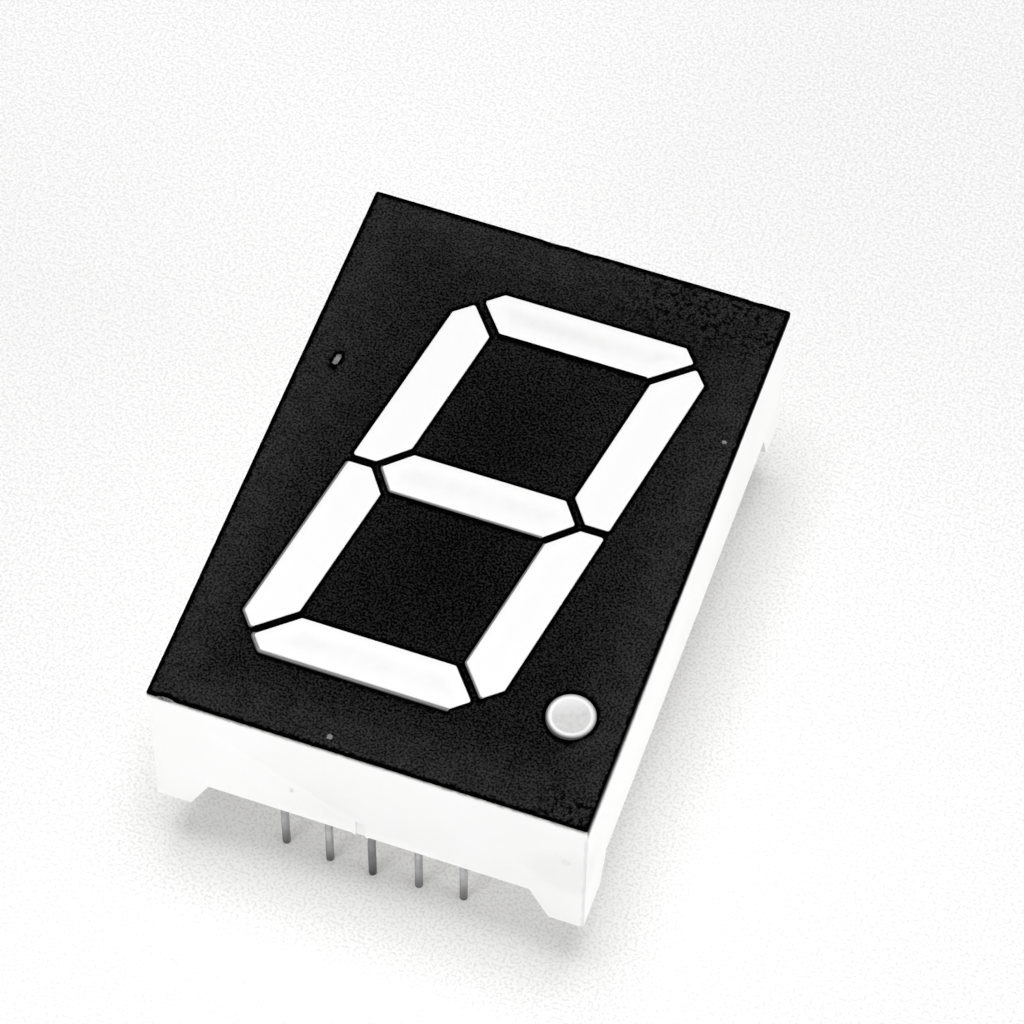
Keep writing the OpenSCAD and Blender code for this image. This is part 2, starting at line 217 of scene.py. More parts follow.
def build_edge_band(n, given):
    """Broken band along a piece's edges, from the distance to them."""
    ragged = n.noise(n.place(), given["Break scale"], 2.0)
    reach = n.times(given["Width"], n.spread(ragged, 0.2, 0.8, 0.6, 1.35))
    return {"Mask": n.spread(n.math("DIVIDE", given["Distance"], reach), 0.7, 1.25, 1.0, 0.0)}


def build_spot(n, given):
    """A small ragged spot at one place on the display."""
    away = n.add("ShaderNodeVectorMath", {0: n.place(), 1: given["Centre"]}, 1, operation="DISTANCE")
    ragged = n.spread(n.noise(n.place(), given["Break scale"], 2.0), 0.25, 0.75, 0.65, 1.3)
    reach = n.times(given["Radius"], ragged)
    return {"Mask": n.spread(n.math("DIVIDE", away, reach), 0.7, 1.2, 1.0, 0.0)}


GRAIN = effect("tool_grain", [("Fine scale", "Float", 6000.0), ("Fine detail", "Float", 3.0),
                              ("Broad scale", "Float", 200.0)],
               [("Fine", "Float"), ("Broad", "Float")], build_grain)
SPECKS = effect("dust_specks", [("Scale", "Float", 900.0), ("Size", "Float", 0.12), ("Share", "Float", 0.05)],
                [("Mask", "Float")], build_specks)
EDGE_BAND = effect("edge_band", [("Distance", "Float", 0.0), ("Width", "Float", 0.0002),
                                 ("Break scale", "Float", 4000.0)], [("Mask", "Float")], build_edge_band)
SPOT = effect("ragged_spot", [("Centre", "Vector", (0.0, 0.0, 0.0)), ("Radius", "Float", 0.0001),
                              ("Break scale", "Float", 9000.0)], [("Mask", "Float")], build_spot)


def use(n, group, inputs):
    node = n.tree.nodes.new("ShaderNodeGroup")
    node.node_tree = group
    for key, value in inputs.items():
        if isinstance(value, bpy.types.NodeSocket):
            n.tree.links.new(value, node.inputs[key])
        else:
            plain(node.inputs[key], value)
    return node.outputs


def spots(n, places, z):
    """Ragged spots at places in millimetres (across, up, radius)."""
    total = 0.0
    for x, y, radius in places:
        spot = use(n, SPOT, {"Centre": (x * MM, y * MM, z), "Radius": radius * MM})["Mask"]
        total = n.math("MAXIMUM", spot, total)
    return total


def finish_of(name, build, **sockets):
    """A material: build returns what feeds the Principled sockets, and sockets are plain values."""
    material = bpy.data.materials.new(name)
    material.use_nodes = True
    tree = material.node_tree
    shader = tree.nodes["Principled BSDF"]
    for key, value in sockets.items():
        plain(shader.inputs[key.replace("_", " ")], value)
    for key, value in build(Nodes(tree)).items():
        tree.links.new(value, shader.inputs[key])
    return material


def bare_share(n, axes):
    """How bare the wall is just below the print: 0 in its ink, 1 below it.

    The ink creeps furthest down the right wall."""
    right = n.spread(axes["X"], body_high.x - 0.06 * MM, body_high.x - 0.01 * MM)
    right_middle = n.spread(axes["Y"], -12 * MM, -4 * MM, 0.37 * MM, 0.19 * MM)
    middle = n.plus(0.11 * MM, n.times(right, right_middle))
    right_reach = n.spread(axes["Y"], body_low.y, body_high.y, 1.25 * MM, 0.3 * MM)
    reach = n.plus(0.55 * MM, n.times(right, n.minus(right_reach, 0.55 * MM)))
    ragged = n.spread(axes["Y"], body_low.y, body_high.y, 0.46 * MM, 0.3 * MM)
    uneven = n.times(n.minus(n.noise(n.place(), 2200.0, 4.0, 0.75), 0.5), ragged)
    below = n.plus(n.minus(ink_z, axes["Z"]), uneven)
    return n.spread(n.math("DIVIDE", n.minus(below, middle), reach), -0.5, 0.5)


def white_moulding(n):
    grain = use(n, GRAIN, {"Fine scale": 5200.0, "Broad scale": 160.0})
    axes = n.axes()
    beside = n.minus(body_high.x, axes["X"])
    ahead = n.minus(axes["Y"], body_low.y)
    to_corner = n.math("SQRT", n.plus(n.times(beside, beside), n.times(ahead, ahead)))
    # Painted shade: a grey line down the near right vertical corner, fading out towards the top.
    corner = use(n, EDGE_BAND, {"Distance": to_corner, "Width": 0.00014, "Break scale": 900.0})["Mask"]
    corner = n.times(corner, n.spread(axes["Z"], face_z - 1.4 * MM, face_z - 0.5 * MM, 0.5, 0.1))
    below_print = n.minus(ink_z, axes["Z"])
    start, end, _ = WORN_LOW[0]
    worn = n.times(n.spread(axes["X"], start * MM, (start + 0.2) * MM),
                   n.spread(axes["X"], (end - 0.3) * MM, end * MM, 1.0, 0.0))
    worn = n.times(worn, n.spread(below_print, 0.1 * MM, 0.24 * MM, 1.0, 0.0))
    worn = n.times(worn, n.spread(axes["Y"], 0.0, -1 * MM))
    colour = n.mix(grain["Broad"], (0.925, 0.925, 0.92), (0.945, 0.945, 0.942))
    colour = n.mix(corner, colour, (0.6, 0.6, 0.6))
    # The last of these marks is painted shade, darkening the wall towards its right corner.
    for (across, up), radius, share in WALL_MARKS_AND_SHADE:
        mark_or_shade = use(n, SPOT, {"Centre": (across * MM, body_low.y, up * MM), "Radius": radius * MM})["Mask"]
        colour = n.mix(n.times(mark_or_shade, share), colour, (0.5, 0.5, 0.5))
    bare = bare_share(n, axes)
    colour = n.mix(bare, (0.004, 0.004, 0.004), colour)
    patchy = n.mix(n.spread(n.noise(n.place(), 7000.0), 0.35, 0.65), (0.05, 0.05, 0.05), (0.22, 0.22, 0.22))
    colour = n.mix(worn, colour, patchy)
    return {
        "Base Color": colour,
        "Roughness": n.plus(n.spread(grain["Broad"], 0.0, 1.0, 0.42, 0.52),
                            n.spread(bare, 0.0, 0.8, 0.45, 0.0)),
        "Normal": n.bump(grain["Fine"], 0.35, 0.00001),
    }


def black_ink(n):
    """Matt ink, greyest near the rim of the face and darkest in its middle, with a black bead at its edges.

    It is clotted in two corners and paler along its right edge, and it carries painted shade: a grey band
    beyond the lower left of each bar and below the dot."""
    away = n.attribute("edge_distance")
    axes = n.axes()
    beside = n.minus(body_high.x, n.math("ABSOLUTE", axes["X"]))
    ahead = n.minus(body_high.y, n.math("ABSOLUTE", axes["Y"]))
    depth = n.math("MINIMUM", beside, ahead)
    run_out = n.attribute("run_out")
    bead = use(n, EDGE_BAND, {"Distance": away, "Width": n.attribute("bead"), "Break scale": 4200.0})["Mask"]
    grain = use(n, GRAIN, {"Fine scale": 8200.0, "Fine detail": 0.6, "Broad scale": 900.0})
    level = n.times(n.spread(depth, 0.3 * MM, 4.5 * MM, 0.0205, 0.0122),
                    n.spread(depth, 4 * MM, 12.5 * MM, 1.0, 0.45))
    inner = n.times(n.spread(depth, 1 * MM, 4 * MM), n.spread(axes["Y"], -10 * MM, 6 * MM, 1.0, 0.0))
    level = n.times(level, n.minus(1.0, n.times(inner, 0.27)))
    level = n.times(level, n.spread(grain["Broad"], 0.0, 1.0, 0.88, 1.12))
    swing = n.times(n.minus(grain["Fine"], 0.5), n.plus(n.times(level, 0.65), 0.017))
    tone = n.math("MAXIMUM", n.plus(level, swing), 0.0003)
    clot = n.spread(n.noise(n.place(), 3100.0, 3.0, 0.65), 0.525, 0.56)
    top_clots = n.times(n.spread(axes["X"], -1 * MM, 6 * MM),
                        n.spread(axes["Y"], 11.5 * MM, 14.5 * MM))
    low_clots = n.times(n.spread(axes["X"], 8.2 * MM, 9.8 * MM),
                        n.spread(axes["Y"], -14.8 * MM, -15.4 * MM))
    clot = n.times(clot, n.math("MAXIMUM", top_clots, low_clots))
    film = n.mix(n.times(clot, 0.95), n.grey(tone, 1.02), (0.0008, 0.0008, 0.0008))
    film = n.mix(bead, film, (0.0003, 0.0003, 0.0003))
    # The print is paler along the right edge of the face, more so towards its lower end.
    right_edge_paler = n.times(n.spread(axes["X"], body_high.x - 0.07 * MM, body_high.x),
                     n.spread(axes["Y"], 3 * MM, -14 * MM, 0.0, 0.08))
    film = n.mix(right_edge_paler, film, (0.9, 0.9, 0.9))
    # Painted shade: a grey band fading from a light's edge into the print, on the lower left of a bar and
    # below the dot.
    over = n.math("DIVIDE", away, n.math("MAXIMUM", run_out, 1e-6))
    resin = n.times(n.spread(over, 0.0, 0.75, 1.0, 0.28), n.spread(over, 0.6, 1.15, 1.0, 0.0))
    resin = n.times(resin, n.attribute("resin_tone"))
    covered = n.times(n.spread(over, 0.8, 1.1, 1.0, 0.0), n.math("GREATER_THAN", run_out, 0.002 * MM))
    film = n.mix(covered, film, n.grey(resin))
    dust = spots(n, DUST, face_z)
    return {
        "Base Color": n.mix(dust, film, (0.24, 0.24, 0.24)),
        "Roughness": n.spread(grain["Fine"], 0.0, 1.0, 0.62, 0.8),
        "Normal": n.bump(grain["Fine"], 0.25, 0.000008),
    }


def milky_resin(n):
    """Cast resin, cloudy away from its edges, with painted shade on its edge at the lower left."""
    grain = use(n, GRAIN, {"Fine scale": 2600.0, "Broad scale": 420.0})
    speckle = n.spread(n.noise(n.place(), 3000.0, 3.0, 0.7), 0.3, 0.7, 0.7, 1.0)
    away = n.attribute("edge_distance")
    deep = n.times(n.spread(away, 0.4 * MM, 1.2 * MM), n.attribute("cloudiness"))
    cloud = n.times(n.times(deep, speckle), n.spread(grain["Broad"], 0.0, 1.0, 0.5, 1.0))
    body = n.mix(cloud, (0.96, 0.96, 0.958), (0.86, 0.86, 0.858))
    # Painted shade: the bar's edge is darkened on its lower left.
    run_out = n.attribute("run_out")
    width = n.plus(0.08 * MM, n.times(run_out, 0.1))
    painted_rim_shade = n.times(n.spread(away, 0.0, width, 1.0, 0.0),
                   n.spread(run_out, 0.005 * MM, 0.05 * MM, 0.0, 0.62))
    return {
        "Base Color": n.mix(painted_rim_shade, body, (0.03, 0.03, 0.03)),
        "Roughness": n.spread(grain["Fine"], 0.0, 1.0, 0.33, 0.42),
        "Normal": n.bump(grain["Fine"], 0.2, 0.000006),
    }


def dot_resin(n):
    """A grey cloudy core, paler at its upper left, in a pale ring darkening to the rim, with painted shade
    lower left.
    """
    grain = use(n, GRAIN, {"Fine scale": 2600.0, "Broad scale": 900.0})
    fibrous = n.noise(n.place(), 3300.0, 4.0, 0.65)
    away = n.attribute("edge_distance")
    from_middle = n.add("ShaderNodeVectorMath", {0: n.place(), 1: middle_of("decimal_point")},
                        operation="SUBTRACT")
    up_left = n.add("ShaderNodeVectorMath", {0: from_middle, 1: UP_LEFT}, 1, operation="DOT_PRODUCT")
    core = n.mix(n.spread(fibrous, 0.35, 0.65), (0.61, 0.61, 0.61), (0.69, 0.69, 0.685))
    core = n.mix(n.spread(up_left, -0.1 * MM, 1.05 * MM), core, (0.81, 0.81, 0.81))
    ring = n.spread(away, -0.1 * MM, 0.24 * MM, 0.0, 0.9)
    # Painted shade: the ring is darker on the lower left of the dot.
    lower_left_rim_shade = n.times(n.spread(away, -0.1 * MM, 0.05 * MM),
                       n.spread(away, 0.02 * MM, 0.21 * MM, 0.19, 0.95))
    lower_left_shade_share = n.spread(n.attribute("facing_low"), -0.3, 0.6)
    ring = n.plus(ring, n.times(lower_left_shade_share, n.minus(lower_left_rim_shade, ring)))
    return {
        "Base Color": n.mix(n.spread(away, 0.23 * MM, 0.36 * MM), n.grey(ring), core),
        "Roughness": n.spread(grain["Fine"], 0.0, 1.0, 0.3, 0.4),
        "Normal": n.bump(grain["Fine"], 0.2, 0.000006),
    }


def tinned_pin(n):
    grain = use(n, GRAIN, {"Fine scale": 7000.0, "Broad scale": 900.0})
    drawn = n.noise(n.stretched(n.place(), (9000.0, 9000.0, 260.0)), 1.0, 3.0)
    height = n.axes()["Z"]
    # Painted shade: the tin darkens towards the tips, which stand in the shadow under the display.
    tip_shade = n.spread(height, floor_z - 0.5 * MM, floor_z + 3.1 * MM, 0.3, 1.0)
    tone = n.times(n.times(tip_shade, n.attribute("brightness")),
                   n.spread(grain["Broad"], 0.0, 1.0, 0.9, 1.1))
    return {
        "Base Color": n.grey(tone, 1.02),
        "Roughness": n.spread(drawn, 0.3, 0.7, 0.3, 0.48),
        "Normal": n.bump(drawn, 0.3, 0.00001),
    }


def potting_resin(n):
    grain = use(n, GRAIN, {"Fine scale": 1500.0, "Broad scale": 120.0})
    bubbles = use(n, SPECKS, {"Scale": 700.0, "Size": 0.22, "Share": 0.06})
    body = n.mix(grain["Broad"], (0.78, 0.77, 0.72), (0.87, 0.86, 0.82))
    return {
        "Base Color": n.mix(n.times(bubbles["Mask"], 0.35), body, (0.62, 0.6, 0.54)),
        "Roughness": n.spread(grain["Broad"], 0.0, 1.0, 0.16, 0.26),
        "Normal": n.bump(bubbles["Mask"], 0.4, 0.00004, n.bump(grain["Broad"], 0.3, 0.00005)),
    }


def board_laminate(n):
    grain = use(n, GRAIN, {"Fine scale": 2500.0, "Broad scale": 150.0})
    glass_weave = n.add("ShaderNodeTexWave", {"Vector": n.place(), "Scale": 900.0, "Distortion": 1.5}, 1)
    body = n.mix(grain["Broad"], (0.03, 0.15, 0.055), (0.045, 0.2, 0.075))
    return {
        "Base Color": n.mix(n.times(glass_weave, 0.25), body, (0.08, 0.26, 0.1)),
        "Roughness": n.spread(grain["Fine"], 0.0, 1.0, 0.3, 0.42),
        "Normal": n.bump(glass_weave, 0.15, 0.00001),
    }


def bright_metal(dark, light, rough):
    def build(n):
        grain = use(n, GRAIN, {"Fine scale": 6000.0, "Broad scale": 500.0})
        return {
            "Base Color": n.mix(grain["Broad"], dark, light),
            "Roughness": n.spread(grain["Fine"], 0.0, 1.0, rough, rough + 0.12),
            "Normal": n.bump(grain["Fine"], 0.2, 0.000006),
        }
    return build


FINISH = {
    "white_moulding": finish_of("white_moulding", white_moulding, Specular_IOR_Level=0.3),
    "black_ink": finish_of("black_ink", black_ink, Specular_IOR_Level=0.005),
    "milky_resin": finish_of("milky_resin", milky_resin, Specular_IOR_Level=0.3),
    "dot_resin": finish_of("dot_resin", dot_resin, Specular_IOR_Level=0.3),
    "tinned_pin": finish_of("tinned_pin", tinned_pin, Metallic=1.0),
    "potting_resin": finish_of("potting_resin", potting_resin, Coat_Weight=0.3),
    "board_laminate": finish_of("board_laminate", board_laminate, Coat_Weight=0.2),
    "copper": finish_of("copper", bright_metal((0.62, 0.3, 0.17), (0.78, 0.42, 0.26), 0.28), Metallic=1.0),
    "gold_wire": finish_of("gold_wire", bright_metal((0.82, 0.6, 0.22), (0.9, 0.7, 0.32), 0.2), Metallic=1.0),
    "solder": finish_of("solder", bright_metal((0.5, 0.5, 0.51), (0.62, 0.62, 0.63), 0.25), Metallic=1.0),
    "die_crystal": finish_of("die_crystal", bright_metal((0.45, 0.3, 0.12), (0.6, 0.42, 0.2), 0.25)),
}


# ---------- outlines taken from the CAD nodes ----------

CAD_WELD = 1e-7  # points of a CAD node closer than this are one point
PIECE_WELD = 2e-8  # the same for a new piece, which has finer edges

def merged(node):
    """A CAD node's mesh with its doubled points merged."""
    mesh = bmesh.new()
    mesh.from_mesh(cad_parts[node].data)
    bmesh.ops.remove_doubles(mesh, verts=mesh.verts, dist=CAD_WELD)
    return mesh


def outlines(node, level):
    """Closed outlines of a node's walls at one level, each anticlockwise, the longest first."""
    mesh = merged(node)
    ring = {}
    for edge in mesh.edges:
        flat = all(abs(v.co.z - level) < FLAT for v in edge.verts)
        if flat and any(abs(f.normal.z) < 0.7 for f in edge.link_faces):
            a, b = edge.verts
            ring.setdefault(a.index, []).append(b.index)
            ring.setdefault(b.index, []).append(a.index)
    points = {v.index: Vector((v.co.x, v.co.y)) for v in mesh.verts}
    mesh.free()
    found = []
    while ring:
        start = here = min(ring)
        before = None
        loop = []
        while here in ring:
            loop.append(points[here])
            following = [k for k in ring.pop(here) if k != before]
            before, here = here, following[0]
            if here == start:
                break
        found.append(loop if turning(loop) > 0 else loop[::-1])
    return sorted(found, key=around, reverse=True)


def turning(loop):
    return sum(a.x * b.y - b.x * a.y for a, b in zip(loop, loop[1:] + loop[:1])) / 2


def around(loop):
    return sum((b - a).length for a, b in zip(loop, loop[1:] + loop[:1]))


def divided(loop, step):
    """The outline with points no more than a step apart."""
    points = []
    for a, b in zip(loop, loop[1:] + loop[:1]):
        parts = max(1, math.ceil((b - a).length / step))
        points += [a.lerp(b, k / parts) for k in range(parts)]
    return points


def moved_out(loop, distance):
    """The outline moved out by a distance, or by one distance for each of its points."""
    if not hasattr(distance, "__len__"):
        distance = [distance] * len(loop)
    moved = []
    for k, here in enumerate(loop):
        before, after = loop[k - 1], loop[(k + 1) % len(loop)]
        sides = [Vector((q.y - p.y, p.x - q.x)).normalized() for p, q in ((before, here), (here, after))]
        reach = max(0.5, 1 + sides[0].dot(sides[1]))
        moved.append(here + (sides[0] + sides[1]) * distance[k] / reach)
    return moved


def inside(points, loops):
    """True for each point that lies in the first outline and in none of the others."""
    points = np.array(points)
    result = None
    for loop in loops:
        a = np.array([tuple(p) for p in loop])
        b = np.roll(a, -1, axis=0)
        crossed = np.zeros(len(points), int)
        for (ax, ay), (bx, by) in zip(a, b):
            if ay == by:
                continue
            spans = (points[:, 1] >= min(ay, by)) & (points[:, 1] < max(ay, by))
            crossed += spans & (points[:, 0] < ax + (points[:, 1] - ay) * (bx - ax) / (by - ay))
        within = crossed % 2 == 1
        result = within if result is None else result & ~within
    return result


def circle(centre, radius, count):
    """Points round a circle, anticlockwise."""
    turns = (2 * math.pi * k / count for k in range(count))
    return [centre + Vector((math.cos(a), math.sin(a))) * radius for a in turns]


def tree_of(points):
    """Finds the nearest of the points, seen from above."""
    tree = kdtree.KDTree(len(points))
    for k, p in enumerate(points):
        tree.insert((p[0], p[1], 0), k)
    tree.balance()
    return tree


def nearest_edges(points, loops, step=0.05 * MM):
    """For each point: the distance to the nearest outline, which way it faces there, and its number."""
    marks, facings, owners = [], [], []
    for owner, loop in enumerate(loops):
        loop = divided(loop, step)
        marks += loop
        facings += faces_of(loop)
        owners += [owner] * len(loop)
    tree = tree_of(marks)
    found = [tree.find((p[0], p[1], 0)) for p in points]
    return [(hit[2], facings[hit[1]], owners[hit[1]]) for hit in found]


def faces_of(loop):
    """Which way the outline faces at each of its points."""
    ways = [loop[(k + 1) % len(loop)] - loop[k - 1] for k in range(len(loop))]
    return [Vector((way.y, -way.x)).normalized() for way in ways]


def distances(points, loops):
    return [away for away, *_ in nearest_edges(points, loops)]


ROW_KEPT = 0.93  # a point of a row stays if it is at least this share of the row's reach from every outline
GRID_KEPT = 0.6  # a point of the grid stays this share of the grid's spacing away from the last row
GRID_SHIFT = 0.25  # the lines of the grid move this share of the spacing to one side and the other in turn
EXTRA_GAP = 0.1 * MM  # a point of the grid stays this far from any extra point


def inner_points(loops, spacing, bands):
    """Points that fill the space between outlines: rows along each outline, then a grid."""
    outer, *holes = loops
    rows = []
    for reach in bands:
        for loop, sign in [(outer, -1)] + [(hole, 1) for hole in holes]:
            row = moved_out(loop, sign * reach)
            rows += [(tuple(p), reach * ROW_KEPT) for p in row]
    xs, ys = zip(*[tuple(p) for p in outer])
    x0, y0 = min(xs), min(ys)
    wide, tall = max(xs) - x0, max(ys) - y0
    across, along = math.ceil(wide / spacing), math.ceil(tall / spacing)
    margin = bands[-1] + spacing * GRID_KEPT
    for i in range(across + 1):
        for j in range(along + 1):
            shift = GRID_SHIFT if j % 2 else -GRID_SHIFT
            rows.append(((x0 + (i + shift) * wide / across, y0 + j * tall / along), margin))
    kept = inside([p for p, _ in rows], loops)
    rows = [row for row, good in zip(rows, kept) if good]
    far = distances([p for p, _ in rows], loops)
    return [p for (p, reach), d in zip(rows, far) if d >= reach]


def skin(mesh, loops, rings, spacing, bands, height, extra=()):
    """Fills the space between outlines with triangles that join the rings of points and any extra ones."""
    rim = [v for ring in rings for v in ring]
    coords = [Vector((v.co.x, v.co.y)) for v in rim]
    edges = []
    start = 0
    for ring in rings:
        edges += [(start + k, start + (k + 1) % len(ring)) for k in range(len(ring))]
        start += len(ring)
    rim_loops = [[Vector((v.co.x, v.co.y)) for v in ring] for ring in rings]
    grid = inner_points(rim_loops, spacing, bands) if bands else []
    if extra:
        tree = tree_of(extra)
        grid = [p for p in grid if tree.find((p[0], p[1], 0))[2] > EXTRA_GAP]
    coords += [Vector(p) for p in [*grid, *extra]]
    out = geometry.delaunay_2d_cdt(coords, edges, [], 1, 1e-9)
    points, triangles, origin = out[0], out[2], out[3]
    middles = [sum((points[k] for k in t), Vector((0, 0))) / 3 for t in triangles]
    kept = inside([tuple(m) for m in middles], rim_loops)
    far = distances([tuple(p) for p in points], loops)
    verts = []
    for k, p in enumerate(points):
        source = [s for s in origin[k] if s < len(rim)]
        verts.append(rim[source[0]] if source else mesh.verts.new((p.x, p.y, height(p, far[k]))))
    for triangle, good in zip(triangles, kept):
        if good and len({verts[k] for k in triangle}) == 3:
            mesh.faces.new([verts[k] for k in triangle])


def walled(mesh, lower, upper):
    for k in range(len(lower)):
        j = (k + 1) % len(lower)
        mesh.faces.new((lower[k], lower[j], upper[j], upper[k]))


def ring_of(mesh, loop, z):
    return [mesh.verts.new((p.x, p.y, z)) for p in loop]


def cast_slab(mesh, loops, bottom, top, rim, spacing, bands, height, steps=3):
    """A slab between outlines whose upper edges are rounded to a rim radius."""
    lows, tops = [], []
    for index, loop in enumerate(loops):
        sign = -1 if index == 0 else 1
        rings = [ring_of(mesh, loop, bottom)]
        for k in range(steps + 1):
            angle = math.pi / 2 * k / steps
            inset = sign * rim * (1 - math.cos(angle))
            rings.append(ring_of(mesh, moved_out(loop, inset), top - rim * (1 - math.sin(angle))))
        for a, b in zip(rings, rings[1:]):
            walled(mesh, a, b)
        lows.append(rings[0])
        tops.append(rings[-1])
    skin(mesh, loops, tops, spacing, bands, height)
    skin(mesh, loops, lows, spacing, (), lambda p, d: bottom)


def piece(name, mesh, slot, replaced, smooth_below=40.0, edge_loops=None, **along_edges):
    """Turns a bmesh into a finished piece of the display.

    Each of along_edges gives a value from the way the nearest edge faces and which outline it is."""
    bmesh.ops.remove_doubles(mesh, verts=mesh.verts, dist=PIECE_WELD)
    bmesh.ops.recalc_face_normals(mesh, faces=mesh.faces)
    data = bpy.data.meshes.new(name)
    mesh.to_mesh(data)
    mesh.free()
    if edge_loops:
        nearest = nearest_edges([tuple(v.co)[:2] for v in data.vertices], edge_loops)
        store(data, "edge_distance", [away for away, *_ in nearest])
        for attribute, value in along_edges.items():
            store(data, attribute, [value(facing, owner) for _, facing, owner in nearest])
    data.shade_smooth()
    data.set_sharp_from_angle(angle=math.radians(smooth_below))
    made = placed(name, data)
    data.materials.append(FINISH[slot])
    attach(made, BODY)
    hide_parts(*replaced)
    return made


def placed(name, data):
    """A new object in the scene."""
    made = bpy.data.objects.new(name, data)
    bpy.context.scene.collection.objects.link(made)
    return made


def store(data, name, values):
    data.attributes.new(name, "FLOAT", "POINT").data.foreach_set("value", values)


# ---------- printed face ----------

CHIP = {"at": (-10.08, 5.74), "half": (0.16, 0.37), "lean": 7.0}  # mm and degrees
INK_INSET = 0.002 * MM
INK_WAVER = 0.016 * MM
INK_STEP = 0.11 * MM  # between points of its outlines
INK_RIM = 0.012 * MM
INK_GRID = 0.3 * MM
INK_ROWS = (0.07 * MM, 0.14 * MM, 0.22 * MM, 0.32 * MM)  # rows of points at these distances from its outlines


def chip_outline(centre, half, lean, count=20):
    """A rounded oblong hole with slightly ragged edges, leaning from the upright."""
    turned = Matrix.Rotation(math.radians(-lean), 2)
    points = []
    for k in range(count):
        angle = 2 * math.pi * k / count
        x, y = (math.copysign(abs(v) ** 0.7, v) for v in (math.cos(angle), math.sin(angle)))
        ragged = 1 + 0.12 * noise.noise((x * 2.3, y * 2.3, 5.0))
        points.append((Vector(centre) + turned @ Vector((x * half[0], y * half[1])) * ragged) * MM)
    return points


def eased(share):
    share = min(1.0, max(0.0, share))
    return share * share * (3 - 2 * share)


def run_out(node, facing):
    """Painted shade's width on the print beyond a light's edge, or how far the print covers it where
    negative.
    """
    share = facing.dot(DOWN) - 0.2 if node == "decimal_point" else facing.dot(LOWER_LEFT) / 0.6
    return RIM_OVERLAP_OR_SHADE.get(node, 0.0) * MM * eased(share)


def ink_edge(loop, light=None):
    """A print's edge wavers a little. Round a light it may cover the resin, and elsewhere it is worn back."""
    outermost = light is None
    loop = divided(loop, INK_STEP)
    moves = []
    for p, facing in zip(loop, faces_of(loop)):
        waver = noise.noise((p.x / MM * 1.7, p.y / MM * 1.7, 3.0)) * 0.5 + 0.5
        back = INK_INSET + INK_WAVER * waver if outermost else INK_WAVER * (waver - 0.5) * 0.6
        across = p.x / MM
        if outermost and abs(p.y) > body_high.y - 0.1 * MM:
            for start, end, deepest in WORN_LOW if p.y < 0 else WORN_TOP:
                if start < across < end:
                    back += deepest * MM * math.sin(math.pi * (across - start) / (end - start)) ** 0.6
        moves.append((0.0 if outermost else min(0.0, run_out(light, facing))) - back)
    return moved_out(loop, moves)


def light_at(middle):
    """The light whose middle is nearest."""
    return min(BARS + ["decimal_point"], key=lambda node: (middle_of(node).xy - middle).length)


def printed_face():
    outer, *windows = outlines("face_print", face_z)
    lights = [light_at(sum(window, Vector((0, 0))) / len(window)) for window in windows]
    loops = [ink_edge(outer)] + [ink_edge(window, light) for window, light in zip(windows, lights)]
    loops.append(chip_outline(CHIP["at"], CHIP["half"], CHIP["lean"]))
    mesh = bmesh.new()
    cast_slab(mesh, loops, ink_z, face_z, INK_RIM, INK_GRID, INK_ROWS, lambda p, d: face_z, steps=2)

    # Width and tone of the painted shade band that lies on the print beyond each light's edge.
    def rim_shade_width(facing, owner):
        return max(0.0, run_out(lights[owner - 1], facing)) if 0 < owner <= len(lights) else 0.0

    def resin_tone(facing, owner):
        return 0.14 if 0 < owner <= len(lights) and lights[owner - 1] == "decimal_point" else 0.36

    def bead(facing, owner):
        if owner == 0:
            return (0.27 + 0.05 * eased(facing.y * 2 - 1) - 0.04 * eased(facing.x * 2 - 1)) * MM
        return (0.23 + 0.18 * eased(facing.dot(DOWN) * 4 - 3)) * MM

    piece("ink_film", mesh, "black_ink", ["face_print"], edge_loops=loops,
          run_out=rim_shade_width, resin_tone=resin_tone, bead=bead)


# ---------- light bars and decimal point ----------

DISH = 0.02 * MM  # how far the resin draws in as it cures
DISH_FADE = 0.35 * MM  # the distance from the rim over which it does
BAR_GRID = 0.16 * MM
BAR_ROWS = (0.1 * MM, 0.2 * MM)
RIM = 0.05 * MM
ROUND_SIDES = 96
CLOUDY = {"segment_a": 1.0, "segment_d": 0.6, "segment_g": 0.7}  # how cloudy each bar's middle is


def light_bar(node):
    """The CAD bar with its flat top replaced by a rounded rim and a slightly drawn-in surface."""
    mesh = merged(node)
    edge_level = max(v.co.z for v in mesh.verts if v.co.z < bar_top_z - FLAT)
    top = [f for f in mesh.faces if all(v.co.z > edge_level - FLAT for v in f.verts)]
    bmesh.ops.delete(mesh, geom=top, context="FACES_ONLY")
    loose = [v for v in mesh.verts if v.co.z > edge_level + FLAT]
    bmesh.ops.delete(mesh, geom=loose, context="VERTS")
    loop = outlines(node, edge_level)[0]
    rim = bar_top_z - edge_level
    covered = [min(0.0, run_out(node, facing)) for facing in faces_of(loop)]
    rings = []
    for k in range(5):
        angle = math.pi / 2 * k / 4
        inset = [(move if k else 0.0) - rim * (1 - math.cos(angle)) for move in covered]
        rings.append(ring_of(mesh, moved_out(loop, inset), edge_level + rim * math.sin(angle)))
    for a, b in zip(rings, rings[1:]):
        walled(mesh, a, b)

    def height(p, away):
        sink = 1 - math.exp(-max(0.0, away - rim) / DISH_FADE)
        ripple = noise.noise((p.x / MM * 0.8, p.y / MM * 0.8, 7.0)) * 0.15
        return bar_top_z - DISH * sink * (0.85 + ripple)

    skin(mesh, [loop], [rings[-1]], BAR_GRID, BAR_ROWS, height)
    # The bar's attribute holds the width of the painted shade on its lower left.
    made = piece(node.replace("segment", "light_bar"), mesh, "milky_resin", [node],
                 edge_loops=[moved_out(loop, covered)],
                 run_out=lambda facing, _: max(0.0, run_out(node, facing)))
    store(made.data, "cloudiness", [CLOUDY.get(node, 0.15)] * len(made.data.vertices))


